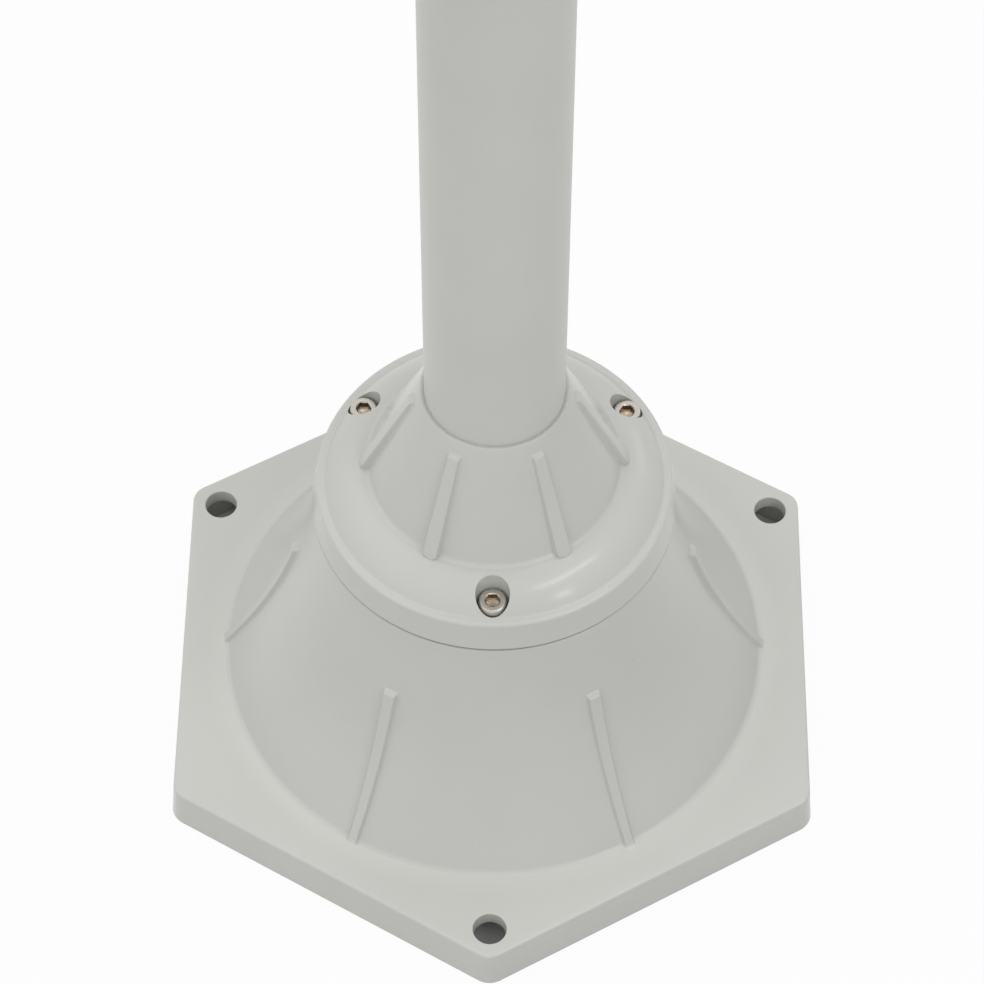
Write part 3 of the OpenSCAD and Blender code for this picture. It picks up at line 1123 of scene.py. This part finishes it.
class Graph:
    """The nodes of one material or of the world."""

    def __init__(self, owner: bpy.types.Material | bpy.types.World) -> None:
        """Start an empty node tree.

        Args:
            owner: The material or the world that gets it.
        """
        self.owner = owner
        owner.use_nodes = True
        self.tree = owner.node_tree
        self.tree.nodes.clear()

    @classmethod
    def of_paint(cls, name: str) -> Graph:
        """Start the nodes of a new material."""
        return cls(bpy.data.materials.new(name))

    def node(
        self, kind: str, inputs: dict[str | int, object] | None = None,
        output: str | int = 0, **settings: object,
    ) -> Signal:
        """Add a node, with its settings first and then its sockets.

        Args:
            kind: The node's type.
            inputs: A number, a colour of three parts or a signal for each socket.
            output: The output that is wanted.
            **settings: The node's own settings.

        Returns:
            The output as a signal.
        """
        node = self.tree.nodes.new(kind)
        for key, value in settings.items():
            setattr(node, key, value)
        for key, value in (inputs or {}).items():
            self.feed(node.inputs[key], value)
        return Signal(self, node.outputs[output])

    def feed(self, socket: bpy.types.NodeSocket, value: object) -> None:
        """Link a signal to a socket, or set a plain value on it.

        Args:
            socket: The socket.
            value: The signal, the number or the colour of three parts.
        """
        if isinstance(value, Signal):
            self.tree.links.new(value.socket, socket)
        else:
            socket.default_value = (*value, 1.0) if socket.type == "RGBA" else value

    def vectors(self, operation: str, *values: object, output: str | int = 0) -> Signal:
        """Put places or directions through a Vector Math node."""
        inputs = dict(enumerate(values))
        return self.node("ShaderNodeVectorMath", inputs, output, operation=operation)

    def place(self) -> Signal:
        """Object coordinates, in metres."""
        return self.node("ShaderNodeTexCoord", output="Object")

    def along(self, where: Signal, way: Sequence[float]) -> Signal:
        """How far a place lies along a direction."""
        return self.vectors("DOT_PRODUCT", where, way, output="Value")

    def reach(self, where: Signal) -> Signal:
        """Distance of a place from the upright axis."""
        flat = self.vectors("MULTIPLY", where, (1.0, 1.0, 0.0))
        return self.vectors("LENGTH", flat, output="Value")

    def height(self, where: Signal) -> Signal:
        """Height of a place."""
        return self.node("ShaderNodeSeparateXYZ", {0: where}, "Z")

    def noise(self, where: Signal, size: float, detail: float = 2.0) -> Signal:
        """Soft noise with features of a size in millimetres."""
        inputs = {"Vector": where, "Scale": 1 / (size * MM), "Detail": detail}
        return self.node("ShaderNodeTexNoise", inputs)

    def mix(self, share: Signal | float, first: Signal | Colour, second: Signal | Colour) -> Signal:
        """Blend two colours by a share from nought to one."""
        return self.node("ShaderNodeMix", {0: share, 6: first, 7: second}, 2, data_type="RGBA")

    def bump(self, height: Signal, depth: float, below: Signal | None = None) -> Signal:
        """A normal that follows a height pattern.

        Args:
            height: The pattern, from nought to one.
            depth: The depth in millimetres that a full step stands for.
            below: A normal that this one is laid over.

        Returns:
            The bumped normal.
        """
        inputs = {"Height": height, "Distance": depth * MM, "Strength": 1.0}
        if below is not None:
            inputs["Normal"] = below
        return self.node("ShaderNodeBump", inputs)

    def seen(self) -> Signal:
        """One for rays from the camera, a gloss or a glass, else nought."""
        camera, gloss, glass = (
            self.node("ShaderNodeLightPath", output=f"Is {word} Ray")
            for word in ("Camera", "Glossy", "Transmission")
        )
        return camera.larger(gloss).larger(glass)

    def blend(self, share: Signal, first: Signal, second: Signal) -> Signal:
        """Blend two shaders by a share from nought to one."""
        return self.node("ShaderNodeMixShader", {0: share, 1: first, 2: second})

    def end(self, kind: str, surface: Signal) -> bpy.types.Material | bpy.types.World:
        """Link a shader to a new output and give the material or world."""
        self.feed(self.tree.nodes.new(kind).inputs["Surface"], surface)
        return self.owner

    def finish(self, **sockets: object) -> bpy.types.Material:
        """End in a principled shader.

        Args:
            **sockets: A value or a signal for each socket, with underscores for blanks.

        Returns:
            The finished material.
        """
        inputs = {key.replace("_", " "): value for key, value in sockets.items()}
        return self.end(
            "ShaderNodeOutputMaterial", self.node("ShaderNodeBsdfPrincipled", inputs)
        )


def shade(colour: Colour, factor: float) -> Colour:
    """A colour made darker or lighter by a factor."""
    return tuple(min(part * factor, 1.0) for part in colour)


@dataclass(frozen=True)
class PowderCoat:
    """Semi-gloss powder paint in a warm light grey."""

    name: str
    colour: Colour
    gloss_roughness: float
    peel: float
    peel_depth: float
    wave: float
    wave_depth: float
    coat: float
    coat_roughness: float = 0.2
    specular: float = 0.1
    cloud: float = 55.0
    patch: float = 9.0
    speck_pitch: float = 14.0
    highlight_r: float = 0.0
    highlight_z: float = 0.0
    highlight_w: float = 9.5
    highlight_share: float = 0.055

    def material(self) -> bpy.types.Material:
        """Build the paint: faint clouds of tone, orange peel, a few specks and, where asked, a
        painted highlight band.
        """
        graph = Graph.of_paint(self.name)
        where = graph.place()
        cloud = graph.noise(where, self.cloud).between(0.3, 0.7)
        patch = graph.noise(where, self.patch, 3.0)
        darker = shade(self.colour, 0.98)
        tone = graph.mix(cloud, darker, shade(self.colour, 1.01))
        tone = graph.mix(patch.between(0.55, 0.8) * 0.25, tone, darker)
        speck = graph.node(
            "ShaderNodeTexVoronoi", {"Vector": where, "Scale": 1 / (self.speck_pitch * MM)}
        )
        specks = (1.0 - speck.between(0.012, 0.022)) * 0.5
        tone = graph.mix(specks, tone, shade(self.colour, 0.62))
        # Painted highlight: paler paint in a band on the plate round the bell's foot, in place of
        # light thrown back from the bell.
        if self.highlight_r:
            highlight = self._highlight(graph, where)
            tone = graph.mix(highlight, tone, shade(self.colour, 1 + self.highlight_share))
        wave = graph.bump(graph.noise(where, self.wave, 1.0), self.wave_depth)
        peel = graph.bump(graph.noise(where, self.peel, 2.0), self.peel_depth, wave)
        rough = graph.noise(where, 3.0) * 0.08 + (self.gloss_roughness - 0.04)
        return graph.finish(
            Base_Color=tone, Roughness=rough, Normal=peel, Specular_IOR_Level=self.specular,
            Coat_Weight=self.coat, Coat_Roughness=self.coat_roughness,
        )

    def _highlight(self, graph: Graph, where: Signal) -> Signal:
        """Find the share of the painted highlight: a paler band round the root of a shape, in place
        of light thrown back there.

        Args:
            graph: The paint's nodes.
            where: The place.

        Returns:
            The share.
        """
        reach, root = graph.reach(where), self.highlight_r * MM
        fade = 1.0 - reach.between(root, root + self.highlight_w * MM)
        past = reach.between(root - 0.6 * MM, root)
        return fade * past * (graph.height(where) < self.highlight_z * MM)


@dataclass(frozen=True)
class Stainless:
    """Bright stainless steel with faint turning rings about its own axis."""

    name: str
    centre: Vector
    socket_z: float
    socket_depth: float = 3.0
    socket_r: float = 2.95
    side_r: float = 4.75
    ring_pitch: float = 0.16
    colour: Colour = (0.56, 0.53, 0.48)
    floor: Colour = (0.6, 0.5, 0.39)
    painted_shade: Colour = (0.12, 0.08, 0.045)
    dull: Colour = (0.72, 0.71, 0.66)

    def material(self) -> bpy.types.Material:
        """Build the steel: turning rings, fine scratches, a tan socket floor, dull sides and
        painted shade.
        """
        graph = Graph.of_paint(self.name)
        here = graph.place()
        where = graph.node("ShaderNodeMapping", {"Vector": here, "Location": -self.centre * MM})
        reach, height = graph.reach(where), graph.height(here)
        rings = (reach * (TAU / (self.ring_pitch * MM))).sine()
        scratch = graph.noise(where, 0.35, 3.0)
        foot = self.socket_z * MM
        top = foot + self.socket_depth * MM
        inside = (reach < self.socket_r * MM) * (height < top - 0.35 * MM)
        wall = height.between(foot + 0.05 * MM, foot + 0.5 * MM)
        flank = reach.between((self.side_r - 0.1) * MM, (self.side_r + 0.1) * MM)
        side = flank * (height < top - 0.5 * MM)
        low = 1.0 - height.between(top - 3.4 * MM, top - 2.4 * MM)
        stain = graph.noise(where, 1.1).between(0.35, 0.75) * 0.3
        tone = graph.mix(stain, self.colour, shade(self.colour, 0.8))
        tone = graph.mix(side, tone, self.dull)
        # Painted shade: the head's side darkens towards its foot, down in the gap of the
        # counterbore.
        tone = graph.mix(side * low * 0.85, tone, self.painted_shade)
        tone = graph.mix(inside, tone, self.floor)
        # Painted shade: the socket's walls are darkened in place of the dark things they would
        # reflect.
        tone = graph.mix(inside * wall * 0.9, tone, self.painted_shade)
        return graph.finish(
            Base_Color=tone, Metallic=1.0 - side * 0.8, Roughness=scratch * 0.16 + 0.2,
            Normal=graph.bump(rings * 0.5 + scratch, 0.004),
        )


@dataclass(frozen=True)
class Rubber:
    """Dull grey-brown rubber."""

    name: str
    colour: Colour = (0.1, 0.094, 0.086)

    def material(self) -> bpy.types.Material:
        """Build the rubber with a fine moulded grain."""
        graph = Graph.of_paint(self.name)
        where = graph.place()
        grain = graph.noise(where, 0.6, 3.0)
        tone = graph.mix(grain, self.colour, shade(self.colour, 1.8))
        return graph.finish(
            Base_Color=tone, Roughness=0.55 + grain * 0.2, Normal=graph.bump(grain, 0.03)
        )


# ---------------------------------------------------------------- studio


@dataclass(frozen=True)
class Lamp:
    """A soft lamp: its place, width and height in metres and its power in watts."""

    name: str
    place: tuple[float, float, float]
    size: Point
    power: float

    def hang(self, aim: Vector) -> None:
        """Hang the lamp in the scene.

        Args:
            aim: The place in metres that it faces.
        """
        data = bpy.data.lights.new(self.name, "AREA")
        data.shape = "RECTANGLE"
        data.size, data.size_y = self.size
        data.energy = self.power
        lamp = bpy.data.objects.new(self.name, data)
        lamp.location = self.place
        lamp.rotation_euler = (aim - lamp.location).to_track_quat("-Z", "Y").to_euler()
        bpy.context.scene.collection.objects.link(lamp)


@dataclass
class Studio:
    """The camera, the lamps, the white surroundings and the floor."""

    aim: Vector
    plate_flat: float
    distance: float = 1362.5
    heading: float = -0.521
    down: float = 55.03
    roll: float = -0.196
    lens: float = 135.77
    ambient: float = 0.2
    ambient_slope: tuple[float, float, float] = (-0.35, -0.14, 1.16)
    floor_bounce: float = 0.62
    floor_glow: float = 0.95
    floor_size: float = 30.0
    dark_inset: float = 4.6
    dark_fade: float = 0.4
    lamps: tuple[Lamp, ...] = (
        Lamp("strip_lamp", (0.65, -0.47, 1.14), (0.75, 0.17), 2.2),
        Lamp("spot_lamp", (0.76, -0.88, 0.70), (0.14, 0.14), 0.7),
        Lamp("back_lamp", (1.1, 1.0, 0.75), (0.5, 0.5), 0.8),
        Lamp("over_lamp", (0.06, 0.55, 2.0), (0.4, 0.4), 1.5),
    )

    def camera(self) -> None:
        """Set up the camera, which looks down on the foot from the front."""
        data = bpy.data.cameras.new("camera")
        data.lens = self.lens
        data.sensor_width = 36.0
        data.clip_start = 0.05
        camera = bpy.data.objects.new("camera", data)
        turns = ((-self.heading, "Z"), (90 - self.down, "X"), (-self.roll, "Z"))
        place = Matrix.Translation(self.aim * MM)
        for angle, axis in turns:
            place @= Matrix.Rotation(math.radians(angle), 4, axis)
        camera.matrix_world = place @ Matrix.Translation((0, 0, self.distance * MM))
        bpy.context.scene.collection.objects.link(camera)
        bpy.context.scene.camera = camera

    def surroundings(self) -> None:
        """Light the scene from all round; what the camera or a reflection sees is white."""
        graph = Graph(bpy.data.worlds.new("surroundings"))
        way = graph.node("ShaderNodeTexCoord", output="Generated")
        slope = graph.along(way, self.ambient_slope)
        soft, white = (
            graph.node("ShaderNodeBackground", {"Color": (1.0,) * 3, "Strength": strength})
            for strength in ((slope + self.ambient).larger(0.0), 1.0)
        )
        bpy.context.scene.world = graph.end(
            "ShaderNodeOutputWorld", graph.blend(graph.seen(), soft, white)
        )

    def _open_floor(self, graph: Graph) -> Signal:
        """Tell the open floor from the ground under the plate.

        Args:
            graph: The floor's nodes.

        Returns:
            One on the open floor, nought under the plate as far as its holes reach.
        """
        where = graph.place()
        first, second, third = (
            abs(graph.along(where, (math.cos(turn), math.sin(turn), 0.0)))
            for turn in (0.0, SIXTH, 2 * SIXTH)
        )
        furthest = first.larger(second).larger(third)
        dark = self.plate_flat - self.dark_inset
        return furthest.between(dark * MM, (dark + self.dark_fade) * MM)

    def floor(self) -> None:
        """Lay a white floor that still takes the object's shadow."""
        bpy.ops.object.select_all(action="DESELECT")
        bpy.ops.mesh.primitive_plane_add(size=self.floor_size, location=(0, 0, -0.2 * MM))
        floor = bpy.context.object
        floor.name = "floor"
        graph = Graph.of_paint("floor_white")
        matt = graph.node("ShaderNodeBsdfDiffuse", {"Color": (self.floor_bounce,) * 3})
        glow = graph.node("ShaderNodeEmission", {"Strength": 1.0})
        share = graph.seen() * self._open_floor(graph) * self.floor_glow
        floor.data.materials.append(
            graph.end("ShaderNodeOutputMaterial", graph.blend(share, matt, glow))
        )

    def build(self) -> None:
        """Set up everything round the object."""
        self.camera()
        self.surroundings()
        self.floor()
        for lamp in self.lamps:
            lamp.hang(self.aim * MM)
        bpy.context.scene.view_settings.view_transform = "Standard"


def dress_set_screw(node: bpy.types.Object, side: Side) -> None:
    """Give a set screw, whose own solid stays, a duller steel.

    Args:
        node: The solid.
        side: Its place round the post.
    """
    low, high = node_box(f"tube_set_screw_{side.word}")
    steel = Stainless(
        f"stainless_grub_{side.word}", (low + high) / 2, socket_z=0.0, colour=(0.5, 0.49, 0.47)
    )
    node.data.materials.clear()
    node.data.materials.append(steel.material())


def main() -> None:
    """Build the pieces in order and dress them."""
    logging.basicConfig(level=logging.INFO, format="%(message)s")
    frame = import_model()
    bpy.ops.object.select_all(action="DESELECT")

    base = BaseCasting.from_frame()
    casting_paint = PowderCoat(
        name="casting_paint", colour=(0.532, 0.535, 0.506), gloss_roughness=0.36,
        peel=1.3, peel_depth=0.02, wave=14.0, wave_depth=0.04, coat=0.6,
        # Painted highlight band on the plate just outside the bell's foot.
        highlight_r=base.bell_foot + 1.2, highlight_z=base.plate_h + 2,
    ).material()
    tube_paint = PowderCoat(
        name="tube_paint", colour=(0.586, 0.59, 0.558), gloss_roughness=0.4,
        peel=1.3, peel_depth=0.015, wave=30.0, wave_depth=0.05, coat=0.15,
    ).material()
    rubber = Rubber("grey_rubber").material()

    base.build(casting_paint)
    Gasket.from_frame().build(rubber)
    Collar.from_frame().build(casting_paint)
    PostTube.from_frame().build(tube_paint)
    for side in Side:
        screw = CapScrew.from_frame(side)
        steel = Stainless(f"stainless_{side.word}", screw.centre, screw.top - screw.socket_depth)
        screw.build(steel.material())
        dress_set_screw(frame["nodes"][f"tube_set_screw_{side.word}"], side)

    Studio(aim=Vector((-0.85, 0.0, 119.0)), plate_flat=node_box("base_casting")[1].x).build()


if __name__ == "__main__":
    main()
